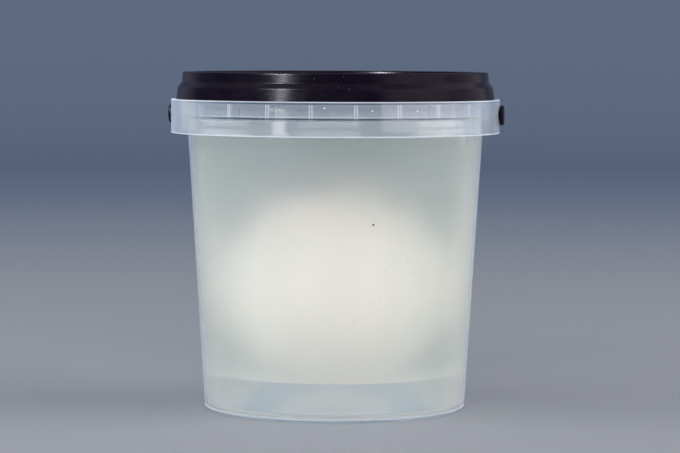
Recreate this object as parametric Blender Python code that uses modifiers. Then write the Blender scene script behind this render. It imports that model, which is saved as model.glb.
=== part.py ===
"""A ball of burrata in brine, shut in its translucent one-litre pail with a black lid and handle.

Units are metres and +Z is up. The origin is the middle of the pail's foot ring, on the surface that
it stands on. The handle turns about the X axis, and at rest it lies back round the pail at +Y.
"""
import math

import bmesh
import bpy
from mathutils import Matrix, Vector

MM = 0.001

# Turned pieces
SEGMENTS = 48
FILLET_STEPS = 1
TOUCH_GAP = 0.3 * MM
WELD_GAP = 0.01 * MM
SHARP_DEG = 30

# Rounding of edges, from fine to broad
FINE_ROUND = 0.3 * MM
EDGE_ROUND = 0.4 * MM
BEAD_ROUND = 0.6 * MM
RISE_ROUND = 0.8 * MM
FOOT_ROUND = 1.0 * MM
CORNER_ROUND = 1.2 * MM

# Pail: body
WALL = 0.9 * MM
BASE_R = 49.85 * MM
COLLAR_FOOT_Z = 105.4 * MM
BODY_TOP_R = 56.3 * MM
FOOT_WIDTH = 2.6 * MM
FLOOR_UNDER_Z = 1.3 * MM
FLOOR_Z = 2.4 * MM
RISE_TOP_Z = 12.2 * MM
RISE_TOP_R = 22.0 * MM
RISE_FOOT_R = 30.2 * MM

# Pail: rim and collar
RIM_TOP_Z = 122.0 * MM
RIM_BEAD_R = 58.6 * MM
RIM_BEAD_UNDER_Z = 118.9 * MM
COLLAR_R = 62.8 * MM
COLLAR_SKIN = 1.0 * MM
COLLAR_TOP_Z = 118.3 * MM
WEB_Z = 112.4 * MM
WEB_THICK = 1.0 * MM
RIB_PITCH_DEG = 15
RIB_THICK = 0.8 * MM
RIB_TOP_Z = 116.4 * MM

# Pivots of the handle
PIVOT_Z = 112.4 * MM
LUG_R = 4.4 * MM
HOLE_R = 2.4 * MM
HOLE_FLOOR_X = 59.0 * MM

# Lid
LID_TOP_Z = 128.6 * MM
LID_TIER_R = 58.4 * MM
LID_LEDGE_TOP_Z = 124.9 * MM
LID_LEDGE_FOOT_Z = 122.8 * MM
LID_LEDGE_R = 60.2 * MM
LID_SKIRT_R = 61.0 * MM
LID_FOOT_Z = 117.2 * MM
LID_PANEL_Z = 124.8 * MM
LID_PANEL_R = 53.4 * MM
LID_PANEL_THICK = 1.0 * MM
LID_SKIRT_INNER_R = 59.3 * MM
LID_HOOK_R = 57.9 * MM
LID_HOOK_FACE = 0.5 * MM
LID_HOOK_RISE = 0.6 * MM
LID_HOOK_HEIGHT = 1.4 * MM
LID_PLUG_R = 55.6 * MM
LID_PLUG_FOOT_Z = 117.8 * MM
LID_ROOF_GAP = 0.35 * MM
LID_TIER_SLOPE = 0.9 * MM
LID_TIER_WALL = 1.2 * MM
LID_PANEL_INSET = 0.6 * MM
LID_DRAFT = 0.2 * MM

# Brine
BRINE_TOP_Z = 111.9 * MM
CAVITY_GROWTH = 0.35 * MM

# Cheese
BALL_R = 35.0 * MM
BALL_FOOT_Z = RISE_TOP_Z + TOUCH_GAP
BALL_BODY_TOP_Z = 83.5 * MM
BALL_FLAT_R = 9.0 * MM
NECK_DEG = 14
NECK_HEIGHT = 0.6 * MM
KNOT_R = 8.0 * MM
KNOT_HALF_HEIGHT = 3.6 * MM
KNOT_START_DEG = 128
KNOT_LEAN = Vector((3.0 * MM, 2.0 * MM))
LEAN_DEPTH = 12.0 * MM
LEAN_LIMIT = 1.3
PLEATS = 9
PLEAT_DEPTH = 0.055
PLEAT_SWAY = 0.7
PLEAT_FADE = 0.42
KNOT_PLEAT_SHARE = 0.6
LUMPS = ((2, 0.010, 0.6), (3, 0.007, 2.1))
SEGMENTS_PER_PLEAT = 4
BODY_RINGS = 12
KNOT_RINGS = 4

# Handle
STRAP_INNER_R = 63.35 * MM
STRAP_THICK = 1.2 * MM
STRAP_WIDTH = 7.0 * MM
GRIP_THICK = 1.3 * MM
GRIP_WIDTH = 11.0 * MM
GRIP_HALF_DEG = 34
GRIP_BLEND_DEG = 9
STRAP_SECTIONS = 33
BOSS_R = 3.8 * MM
BOSS_INNER_X = 63.15 * MM
PIN_R = 2.0 * MM
PIN_END_X = 59.4 * MM
BOSS_SEGMENTS = 16
REST_DROOP_DEG = 3.0

# Colours and finishes
PAIL_COLOUR = (0.62, 0.68, 0.70)
PAIL_ROUGHNESS = 0.35
PAIL_ALPHA = 0.4
BLACK_COLOUR = (0.012, 0.008, 0.018)
LID_ROUGHNESS = 0.25
HANDLE_ROUGHNESS = 0.3
BRINE_COLOUR = (0.62, 0.66, 0.62)
BRINE_ROUGHNESS = 0.2
BRINE_ALPHA = 0.6
CHEESE_COLOUR = (0.87, 0.85, 0.79)
CHEESE_ROUGHNESS = 0.45


def clear_scene():
    """Remove every object, and keep the file as it is."""
    for old in list(bpy.data.objects):
        bpy.data.objects.remove(old, do_unlink=True)


def new_collection(name):
    """A collection of its own under the scene."""
    group = bpy.data.collections.new(name)
    bpy.context.scene.collection.children.link(group)
    return group


def plastic(name, colour, roughness, alpha=1.0):
    """A plain Principled material."""
    made = bpy.data.materials.new(name)
    made.use_nodes = True
    shader = made.node_tree.nodes["Principled BSDF"]
    shader.inputs["Base Color"].default_value = (*colour, 1.0)
    shader.inputs["Roughness"].default_value = roughness
    shader.inputs["Metallic"].default_value = 0.0
    shader.inputs["Alpha"].default_value = alpha
    made.diffuse_color = (*colour, alpha)
    return made


def add_object(name, mesh, group, material=None):
    """A named object for a mesh, with its material where it has one."""
    made = bpy.data.objects.new(name, mesh)
    group.objects.link(made)
    if material is not None:
        mesh.materials.append(material)
    return made


def as_cutter(tool):
    """Mark an object as one that only cuts or joins others."""
    tool.hide_render = True
    tool.display_type = "WIRE"
    return tool


def boolean(target, tool, operation):
    """Cut or join with an exact Boolean."""
    step = target.modifiers.new(f"{operation.title()} {tool.name}", "BOOLEAN")
    step.operation = operation
    step.solver = "EXACT"
    step.object = tool


def wall_r(z):
    """Outer radius of the pail's straight, tapered wall at a height."""
    return BASE_R + (BODY_TOP_R - BASE_R) * z / COLLAR_FOOT_Z


def rounded(corners):
    """A polyline through (r, z, fillet radius) corners, each fillet an arc of a few steps."""
    points = []
    for i, (r, z, fillet) in enumerate(corners):
        here = Vector((r, z))
        if fillet == 0 or i in (0, len(corners) - 1):
            points.append(here)
            continue
        back = (Vector(corners[i - 1][:2]) - here).normalized()
        ahead = (Vector(corners[i + 1][:2]) - here).normalized()
        half = back.angle(ahead) / 2
        centre = here + (back + ahead).normalized() * (fillet / math.sin(half))
        start = here + back * (fillet / math.tan(half)) - centre
        turn = start.angle_signed(here + ahead * (fillet / math.tan(half)) - centre)
        for k in range(FILLET_STEPS + 1):
            points.append(centre + Matrix.Rotation(-turn * k / FILLET_STEPS, 2) @ start)
    return points


def turned(name, points, group, material=None, loop=False):
    """A profile in the XZ plane, from axis to axis or a closed loop, turned once round Z."""
    mesh = bpy.data.meshes.new(name)
    edges = [(k, k + 1) for k in range(len(points) - 1)]
    if loop:
        edges.append((len(points) - 1, 0))
    mesh.from_pydata([(p.x, 0.0, p.y) for p in points], edges, [])
    made = add_object(name, mesh, group, material)
    screw = made.modifiers.new("Turn", "SCREW")
    screw.axis = "Z"
    screw.angle = 2 * math.pi
    screw.steps = screw.render_steps = SEGMENTS
    screw.use_merge_vertices = True
    screw.merge_threshold = WELD_GAP
    screw.use_smooth_shade = True
    return made


def floor_profile():
    """Half section of the raised floor, out to the foot ring that carries it."""
    edge_r = BASE_R - FOOT_WIDTH - TOUCH_GAP
    return rounded([
        (0.0, RISE_TOP_Z, 0),
        (RISE_TOP_R, RISE_TOP_Z, RISE_ROUND),
        (RISE_FOOT_R, FLOOR_Z, RISE_ROUND),
        (edge_r, FLOOR_Z, 0),
        (edge_r, FLOOR_UNDER_Z, 0),
        (RISE_FOOT_R - WALL / 2, FLOOR_UNDER_Z, 0),
        (RISE_TOP_R - WALL, RISE_TOP_Z - WALL, 0),
        (0.0, RISE_TOP_Z - WALL, 0),
    ])


def pail_profile():
    """Closed section of the pail's shell: foot ring, inner wall, rim, collar, outer wall."""
    skin_r = COLLAR_R - COLLAR_SKIN
    web_under = WEB_Z - WEB_THICK
    rim_inner = wall_r(RIM_TOP_Z) - WALL
    foot_inner = BASE_R - FOOT_WIDTH
    inside = [
        (foot_inner, FLOOR_Z, 0),
        (wall_r(FLOOR_Z) - WALL, FLOOR_Z, CORNER_ROUND),
    ]
    rim = [
        (rim_inner, RIM_TOP_Z, EDGE_ROUND),
        (RIM_BEAD_R, RIM_TOP_Z, BEAD_ROUND),
        (RIM_BEAD_R, RIM_BEAD_UNDER_Z, EDGE_ROUND),
        (wall_r(RIM_BEAD_UNDER_Z), RIM_BEAD_UNDER_Z, 0),
    ]
    collar = [
        (wall_r(WEB_Z), WEB_Z, 0),
        (skin_r, WEB_Z, 0),
        (skin_r, COLLAR_TOP_Z, FINE_ROUND),
        (COLLAR_R, COLLAR_TOP_Z, FINE_ROUND),
        (COLLAR_R, COLLAR_FOOT_Z, FINE_ROUND),
        (skin_r, COLLAR_FOOT_Z, FINE_ROUND),
        (skin_r, web_under, 0),
        (wall_r(web_under), web_under, 0),
    ]
    base = [
        (BASE_R, 0.0, FOOT_ROUND),
        (foot_inner, 0.0, 0),
    ]
    return rounded(inside + rim + collar + base)


def rib_mesh():
    """The upright ribs between the wall and the collar, above the web, none at the pivots."""
    inner = wall_r(WEB_Z) - WALL / 2
    outer = COLLAR_R - COLLAR_SKIN / 2
    low = WEB_Z - WEB_THICK / 2
    size = Vector((outer - inner, RIB_THICK, RIB_TOP_Z - low))
    middle = Vector(((outer + inner) / 2, 0.0, (RIB_TOP_Z + low) / 2))
    bm = bmesh.new()
    for angle in range(0, 360, RIB_PITCH_DEG):
        if angle % 180 == 0:
            continue
        place = Matrix.Rotation(math.radians(angle), 4, "Z") @ Matrix.Translation(middle)
        bmesh.ops.create_cube(bm, size=1.0, matrix=place @ Matrix.Diagonal((*size, 1.0)))
    return finish_mesh(bm, "ribs")


def finish_mesh(bm, name):
    """Turn a bmesh into a mesh with its faces pointing out."""
    bmesh.ops.recalc_face_normals(bm, faces=bm.faces)
    mesh = bpy.data.meshes.new(name)
    bm.to_mesh(mesh)
    bm.free()
    mesh.shade_smooth()
    mesh.set_sharp_from_angle(angle=math.radians(SHARP_DEG))
    return mesh


def rod_pair(name, radius, start_x, end_x, z, group):
    """Two round bars along X, one on each side of the pail, as a tool for a Boolean."""
    bm = bmesh.new()
    for side in (1, -1):
        place = Matrix.Translation((side * (start_x + end_x) / 2, 0.0, z))
        place = place @ Matrix.Rotation(side * math.pi / 2, 4, "Y")
        bmesh.ops.create_cone(
            bm, cap_ends=True, segments=BOSS_SEGMENTS, depth=end_x - start_x, matrix=place,
            radius1=radius, radius2=radius,
        )
    return as_cutter(add_object(name, finish_mesh(bm, name), group))


def make_pail(parts, tools):
    """The pail: its shell with collar, ribs and lugs, and its raised floor."""
    shell_plastic = plastic("pail_plastic", PAIL_COLOUR, PAIL_ROUGHNESS, PAIL_ALPHA)
    floor_plastic = plastic("floor_plastic", PAIL_COLOUR, PAIL_ROUGHNESS, PAIL_ALPHA)
    pail = turned("tub", pail_profile(), parts, shell_plastic, loop=True)
    turned("tub_floor", floor_profile(), parts, floor_plastic)
    ribs = as_cutter(add_object("ribs", rib_mesh(), tools))
    lug_start = wall_r(PIVOT_Z) - WALL / 2
    lugs = rod_pair("lugs", LUG_R, lug_start, COLLAR_R - COLLAR_SKIN / 2, PIVOT_Z, tools)
    holes = rod_pair("holes", HOLE_R, HOLE_FLOOR_X, COLLAR_R + WALL, PIVOT_Z, tools)
    boolean(pail, ribs, "UNION")
    boolean(pail, lugs, "UNION")
    boolean(pail, holes, "DIFFERENCE")


def lid_profile():
    """Half section of the lid: sunk panel, stacking tier, ledge, skirt with its hook, seal plug."""
    tier_inner = LID_PANEL_R + LID_TIER_SLOPE
    roof_z = RIM_TOP_Z + LID_ROOF_GAP
    plug_inner = LID_PLUG_R - WALL
    under_z = LID_PANEL_Z - LID_PANEL_THICK
    groove_inner = LID_PLUG_R - LID_DRAFT
    groove_outer = LID_TIER_R - LID_TIER_WALL
    groove_roof = LID_TOP_Z - LID_PANEL_THICK
    return rounded([
        (0.0, LID_PANEL_Z, 0),
        (LID_PANEL_R, LID_PANEL_Z, BEAD_ROUND),
        (tier_inner, LID_TOP_Z, BEAD_ROUND),
        (LID_TIER_R, LID_TOP_Z, BEAD_ROUND),
        (LID_TIER_R + LID_DRAFT, LID_LEDGE_TOP_Z, 0),
        (LID_LEDGE_R, LID_LEDGE_FOOT_Z, EDGE_ROUND),
        (LID_SKIRT_R, LID_FOOT_Z, FINE_ROUND),
        (LID_HOOK_R + LID_HOOK_FACE, LID_FOOT_Z, 0),
        (LID_HOOK_R, LID_FOOT_Z + LID_HOOK_RISE, 0),
        (LID_SKIRT_INNER_R, LID_FOOT_Z + LID_HOOK_HEIGHT, 0),
        (LID_SKIRT_INNER_R - LID_DRAFT, roof_z, EDGE_ROUND),
        (groove_outer, roof_z, 0),
        (groove_outer, groove_roof, 0),
        (groove_inner, groove_roof, 0),
        (LID_PLUG_R, roof_z, 0),
        (LID_PLUG_R, LID_PLUG_FOOT_Z, FINE_ROUND),
        (plug_inner, LID_PLUG_FOOT_Z, FINE_ROUND),
        (LID_PANEL_R - LID_PANEL_INSET, under_z, 0),
        (0.0, under_z, 0),
    ])


def make_lid(parts):
    """The lid, pressed on over the rim."""
    turned("lid", lid_profile(), parts, plastic("lid_plastic", BLACK_COLOUR, LID_ROUGHNESS))


def make_brine(parts, tools):
    """The brine up to its level, with a hollow for the cheese that opens where it rests."""
    gap = TOUCH_GAP
    level = BRINE_TOP_Z
    points = rounded([
        (0.0, level, 0),
        (wall_r(level) - WALL - gap, level, 0),
        (wall_r(FLOOR_Z) - WALL - gap, FLOOR_Z + gap, CORNER_ROUND),
        (RISE_FOOT_R + gap, FLOOR_Z + gap, RISE_ROUND),
        (RISE_TOP_R + gap, RISE_TOP_Z + gap, RISE_ROUND),
        (0.0, RISE_TOP_Z + gap, 0),
    ])
    liquid = plastic("brine", BRINE_COLOUR, BRINE_ROUGHNESS, BRINE_ALPHA)
    brine = turned("brine", points, parts, liquid)
    hollow = as_cutter(add_object("hollow", cheese_mesh("hollow", CAVITY_GROWTH), tools))
    boolean(brine, hollow, "DIFFERENCE")


def cheese_profile(growth):
    """Stations (radius, height, share of pleat) from the top of the knot to the foot.

    A swollen outline runs straight from the knot's widest ring to the body, past the narrow neck.
    """
    centre_z = (BALL_BODY_TOP_Z + BALL_FOOT_Z) / 2
    half_height = (BALL_BODY_TOP_Z - BALL_FOOT_Z) / 2
    neck = math.radians(NECK_DEG)
    neck_z = centre_z + half_height * math.cos(neck)
    start = math.radians(KNOT_START_DEG)
    knot_z = neck_z - KNOT_HALF_HEIGHT * math.cos(start) + NECK_HEIGHT
    if growth:
        start = math.pi / 2
    knot = []
    for k in range(KNOT_RINGS + 1):
        t = start * k / KNOT_RINGS
        knot.append((
            (KNOT_R + growth) * math.sin(t),
            knot_z + KNOT_HALF_HEIGHT * math.cos(t) + growth,
            KNOT_PLEAT_SHARE * math.sin(t),
        ))
    flat = math.pi - math.asin(BALL_FLAT_R / BALL_R)
    body = []
    for k in range(BODY_RINGS + 1):
        t = neck + (flat - neck) * k / BODY_RINGS
        settled = math.cos(t) if t < math.pi / 2 else math.cos(t) / abs(math.cos(flat))
        body.append((
            (BALL_R + growth) * math.sin(t),
            centre_z + (half_height + growth) * settled,
            math.exp(-(t - neck) / PLEAT_FADE),
        ))
    return knot + body


def cheese_mesh(name, growth=0.0):
    """The ball gathered into pleats under a small leaning knot, swollen all over by growth."""
    stations = cheese_profile(growth)
    rows = len(stations) + 1
    bm = bmesh.new()
    bmesh.ops.create_uvsphere(
        bm, u_segments=PLEATS * SEGMENTS_PER_PLEAT, v_segments=rows - 1, radius=1.0)
    lean_from = BALL_BODY_TOP_Z - LEAN_DEPTH
    foot_z = stations[-1][1]
    for vert in bm.verts:
        row = round(math.acos(max(-1.0, min(1.0, vert.co.z))) / math.pi * (rows - 1))
        around = math.atan2(vert.co.y, vert.co.x)
        if row == rows - 1:
            radius, height, pleat = 0.0, foot_z, 0.0
        else:
            radius, height, pleat = stations[row]
        swayed = PLEATS * around + PLEAT_SWAY * math.sin(around)
        fold = 1 - PLEAT_DEPTH * pleat * (1 + math.cos(swayed))
        lump = 1 + sum(share * math.sin(waves * around + turn) for waves, share, turn in LUMPS)
        lean = max(0.0, height - lean_from) / LEAN_DEPTH
        offset = KNOT_LEAN * min(lean, LEAN_LIMIT) ** 2
        vert.co = Vector((
            radius * fold * lump * math.cos(around) + offset.x,
            radius * fold * lump * math.sin(around) + offset.y,
            height,
        ))
    return finish_mesh(bm, name)


def make_cheese(parts):
    """The burrata, resting on the raised floor."""
    skin = plastic("cheese_skin", CHEESE_COLOUR, CHEESE_ROUGHNESS)
    add_object("burrata", cheese_mesh("burrata"), parts, skin)


def strap_mesh():
    """Half a hoop of flat strap round +Y, wider along the grip, as one loft."""
    bm = bmesh.new()
    rings = []
    for k in range(STRAP_SECTIONS):
        angle = 180.0 * k / (STRAP_SECTIONS - 1)
        inside_grip = (GRIP_HALF_DEG - abs(angle - 90)) / GRIP_BLEND_DEG
        share = max(0.0, min(1.0, 0.5 + inside_grip / 2))
        share = share * share * (3 - 2 * share)
        half = (STRAP_WIDTH + (GRIP_WIDTH - STRAP_WIDTH) * share) / 2
        outer = STRAP_INNER_R + STRAP_THICK + (GRIP_THICK - STRAP_THICK) * share
        out = Vector((math.cos(math.radians(angle)), math.sin(math.radians(angle)), 0.0))
        corners = [(STRAP_INNER_R, -half), (outer, -half), (outer, half), (STRAP_INNER_R, half)]
        rings.append([bm.verts.new(out * r + Vector((0, 0, z))) for r, z in corners])
    for one, two in zip(rings, rings[1:]):
        for k in range(4):
            j = (k + 1) % 4
            bm.faces.new((one[k], one[j], two[j], two[k]))
    bm.faces.new(rings[0])
    bm.faces.new(reversed(rings[-1]))
    return finish_mesh(bm, "handle")


def make_handle(parts, tools):
    """The handle: strap, end discs and the pins that turn in the collar's lugs."""
    outer_x = STRAP_INNER_R + STRAP_THICK
    material = plastic("handle_plastic", BLACK_COLOUR, HANDLE_ROUGHNESS)
    handle = add_object("handle", strap_mesh(), parts, material)
    discs = rod_pair("discs", BOSS_R, BOSS_INNER_X, outer_x, 0.0, tools)
    pins = rod_pair("pins", PIN_R, PIN_END_X, (BOSS_INNER_X + outer_x) / 2, 0.0, tools)
    boolean(handle, discs, "UNION")
    boolean(handle, pins, "UNION")
    pivot = bpy.data.objects.new("handle_pivot", None)
    parts.objects.link(pivot)
    pivot.location = (0.0, 0.0, PIVOT_Z)
    pivot.rotation_euler = (-math.radians(REST_DROOP_DEG), 0.0, 0.0)
    handle.parent = pivot
    for tool in (discs, pins):
        tool.parent = pivot


def main():
    """Build the pail, its lid and handle, the brine and the cheese."""
    clear_scene()
    parts = new_collection("burrata_pail")
    tools = new_collection("cutters")
    make_pail(parts, tools)
    make_lid(parts)
    make_brine(parts, tools)
    make_cheese(parts)
    make_handle(parts, tools)


main()
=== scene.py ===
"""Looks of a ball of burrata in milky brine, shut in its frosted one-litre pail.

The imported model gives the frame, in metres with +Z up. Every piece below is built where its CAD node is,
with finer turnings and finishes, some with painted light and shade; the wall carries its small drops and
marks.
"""

import logging
import math
from dataclasses import dataclass
from enum import Enum

import bmesh
import bpy
from mathutils import Matrix, Vector, noise


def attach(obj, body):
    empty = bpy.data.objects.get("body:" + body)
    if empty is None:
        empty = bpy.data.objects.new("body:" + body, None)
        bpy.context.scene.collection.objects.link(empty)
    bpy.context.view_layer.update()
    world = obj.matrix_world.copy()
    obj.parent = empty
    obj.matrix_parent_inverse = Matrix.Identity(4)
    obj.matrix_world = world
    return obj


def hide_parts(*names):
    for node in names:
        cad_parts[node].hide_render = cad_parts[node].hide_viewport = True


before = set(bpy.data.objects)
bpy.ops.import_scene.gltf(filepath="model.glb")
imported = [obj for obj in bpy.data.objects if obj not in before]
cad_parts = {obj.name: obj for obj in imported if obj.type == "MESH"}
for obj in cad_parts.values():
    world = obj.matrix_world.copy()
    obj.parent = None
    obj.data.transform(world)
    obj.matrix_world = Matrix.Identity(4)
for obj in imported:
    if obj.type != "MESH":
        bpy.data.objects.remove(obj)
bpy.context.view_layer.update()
MM = 0.001
LONGEST_EDGE = 4 * MM
SOFT_DEG = 80.0
LOG = logging.getLogger("burrata")


# ---------------- shader sums and nodes


class Wire:
    """An output socket of a material's tree that takes part in plain sums."""

    def __init__(self, recipe: "Recipe", socket: bpy.types.NodeSocket) -> None:
        """Keep the socket and the recipe that it belongs to."""
        self.recipe = recipe
        self.socket = socket

    def __add__(self, other: "Value") -> "Wire":
        """self + other."""
        return self.recipe.sum("ADD", self, other)

    def __radd__(self, other: "Value") -> "Wire":
        """other + self."""
        return self.recipe.sum("ADD", other, self)

    def __sub__(self, other: "Value") -> "Wire":
        """self - other."""
        return self.recipe.sum("SUBTRACT", self, other)

    def __rsub__(self, other: "Value") -> "Wire":
        """other - self."""
        return self.recipe.sum("SUBTRACT", other, self)

    def __mul__(self, other: "Value") -> "Wire":
        """self * other."""
        return self.recipe.sum("MULTIPLY", self, other)

    def __rmul__(self, other: "Value") -> "Wire":
        """other * self."""
        return self.recipe.sum("MULTIPLY", other, self)

    def __pow__(self, other: "Value") -> "Wire":
        """self to the power of other."""
        return self.recipe.sum("POWER", self, other)

    def __gt__(self, other: "Value") -> "Wire":
        """1 where self is more than other, and 0 elsewhere."""
        return self.recipe.sum("GREATER_THAN", self, other)

    def __lt__(self, other: "Value") -> "Wire":
        """1 where self is less than other, and 0 elsewhere."""
        return self.recipe.sum("LESS_THAN", self, other)

    def __abs__(self) -> "Wire":
        """self without its sign."""
        return self.recipe.sum("ABSOLUTE", self)


Value = Wire | float


class Recipe:
    """One material and the short ways to fill its tree."""

    def __init__(self, name: str) -> None:
        """Start a material with an empty tree.

        Args:
            name: the material's name.
        """
        self.material = bpy.data.materials.new(name)
        self.material.use_nodes = True
        self.tree = self.material.node_tree
        self.tree.nodes.clear()

    def make(self, kind: str, settings: dict, inputs: dict) -> bpy.types.Node:
        """Make a node; every node of the tree comes from here.

        Args:
            kind: the node's type.
            settings: properties of the node, and "stops" for a ramp's (place, grey) pairs.
            inputs: numbers, tuples or wires for its sockets, by name or number.

        Returns:
            The node.
        """
        made = self.tree.nodes.new(kind)
        for key, value in settings.items():
            if key == "stops":
                self._set_stops(made.color_ramp, value)
            else:
                setattr(made, key, value)
        for key, value in inputs.items():
            if isinstance(value, Wire):
                self.tree.links.new(value.socket, made.inputs[key])
            else:
                made.inputs[key].default_value = value
        return made

    @staticmethod
    def _set_stops(ramp: bpy.types.ColorRamp, stops: tuple) -> None:
        """Give a ramp its stops.

        Args:
            ramp: a new ramp with two stops.
            stops: its (place, grey) pairs.
        """
        while len(ramp.elements) < len(stops):
            ramp.elements.new(1.0)
        for element, (place, grey) in zip(ramp.elements, stops):
            element.position = place
            element.color = (grey, grey, grey, 1.0)

    def node(self, kind: str, settings: dict, inputs: dict, output: str | int = 0) -> Wire:
        """One output of a new node, by its name or number."""
        return Wire(self, self.make(kind, settings, inputs).outputs[output])

    def place(self, stretch: tuple = (1.0, 1.0, 1.0)) -> Wire:
        """The point on the piece in metres, stretched along each axis."""
        point = self.node("ShaderNodeTexCoord", {}, {}, "Object")
        return self.node("ShaderNodeVectorMath", {"operation": "MULTIPLY"}, {0: point, 1: stretch})

    def axes(self) -> list:
        """The x, y and z of the point on the piece in metres."""
        point = self.node("ShaderNodeTexCoord", {}, {}, "Object")
        return [self.node("ShaderNodeSeparateXYZ", {}, {"Vector": point}, axis) for axis in "XYZ"]

    def radius(self) -> Wire:
        """The distance from the pail's axis in metres."""
        x, y, _ = self.axes()
        return (x ** 2.0 + y ** 2.0) ** 0.5

    def height(self, top: float) -> Wire:
        """The height on the piece, from 0 at its origin to 1 at a given height in metres."""
        return self.axes()[2] * (1.0 / top)

    def sum(self, operation: str, first: Value, second: Value = 0.0) -> Wire:
        """One Math node of two wires or numbers."""
        return self.node("ShaderNodeMath", {"operation": operation}, {0: first, 1: second})

    def facing(self) -> Wire:
        """How far the surface turns from the eye: 0 seen square on, 1 at its outline."""
        return self.node("ShaderNodeLayerWeight", {}, {"Blend": 0.5}, "Facing")

    def band(self, value: Wire, low: float, high: float) -> Wire:
        """1 where a value lies between two, and 0 elsewhere."""
        return (value > low) * (value < high)

    def noise(self, point: Wire, size: float, detail: float = 2.0, rough: float = 0.5) -> Wire:
        """Noise from 0 to 1 whose features are about size metres across."""
        return self.node("ShaderNodeTexNoise", {}, {
            "Vector": point, "Scale": 1.0 / size, "Detail": detail, "Roughness": rough})

    def ramp(self, value: Wire, stops: tuple) -> Wire:
        """A value taken through (place, result) stops."""
        return self.node("ShaderNodeValToRGB", {"stops": stops}, {0: value})

    def tint(self, share: Wire, first: Wire | tuple, second: Wire | tuple) -> Wire:
        """A colour between two, by a share; each is a colour or a wire that carries one."""
        ends = [end if isinstance(end, Wire) else (*end, 1.0) for end in (first, second)]
        return self.node("ShaderNodeMix", {"data_type": "RGBA"}, {0: share, 6: ends[0], 7: ends[1]}, 2)

    def bump(self, height: Wire, depth: float, strength: float) -> Wire:
        """A bumped normal of a height from 0 to 1, with its depth in metres."""
        return self.node("ShaderNodeBump", {}, {
            "Height": height, "Distance": depth, "Strength": strength}, "Normal")

    def principled(self, **inputs: Wire | float | tuple) -> Wire:
        """A full surface shader, its sockets named with _ for a space."""
        named = {key.replace("_", " "): value for key, value in inputs.items()}
        return self.node("ShaderNodeBsdfPrincipled", {}, named)

    def blend(self, share: Value, first: Wire, second: Wire) -> Wire:
        """Two shaders mixed by a share of the second."""
        return self.node("ShaderNodeMixShader", {}, {0: share, 1: first, 2: second})

    def milky(self, clear: Wire, colour: Wire, haze: Wire, glow: Value) -> Wire:
        """Cloud a clear surface.

        Args:
            clear: the shader of the clear part.
            colour: colour of the cloud.
            haze: share of the surface that is cloud.
            glow: share of the cloud that shines with the light behind it.

        Returns:
            The clouded shader.
        """
        lit = self.node("ShaderNodeBsdfDiffuse", {}, {"Color": colour})
        through = self.node("ShaderNodeBsdfTranslucent", {}, {"Color": colour})
        return self.blend(haze, clear, self.blend(glow, lit, through))

    def lamps_through(self, shader: Wire, tint: tuple) -> Wire:
        """Let lamps shine through a frosted or liquid surface.

        Args:
            shader: how the surface looks.
            tint: how much of each colour passes.

        Returns:
            The shader that lamps shine through.
        """
        is_shadow = self.node("ShaderNodeLightPath", {}, {}, "Is Shadow Ray")
        clear = self.node("ShaderNodeBsdfTransparent", {}, {"Color": (*tint, 1.0)})
        return self.blend(is_shadow, shader, clear)

    def finish(self, **shaders: Wire) -> bpy.types.Material:
        """The material with its output's sockets, Surface and perhaps Volume, connected to shaders."""
        self.make("ShaderNodeOutputMaterial", {}, shaders)
        return self.material


# ---------------- finishes


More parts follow.
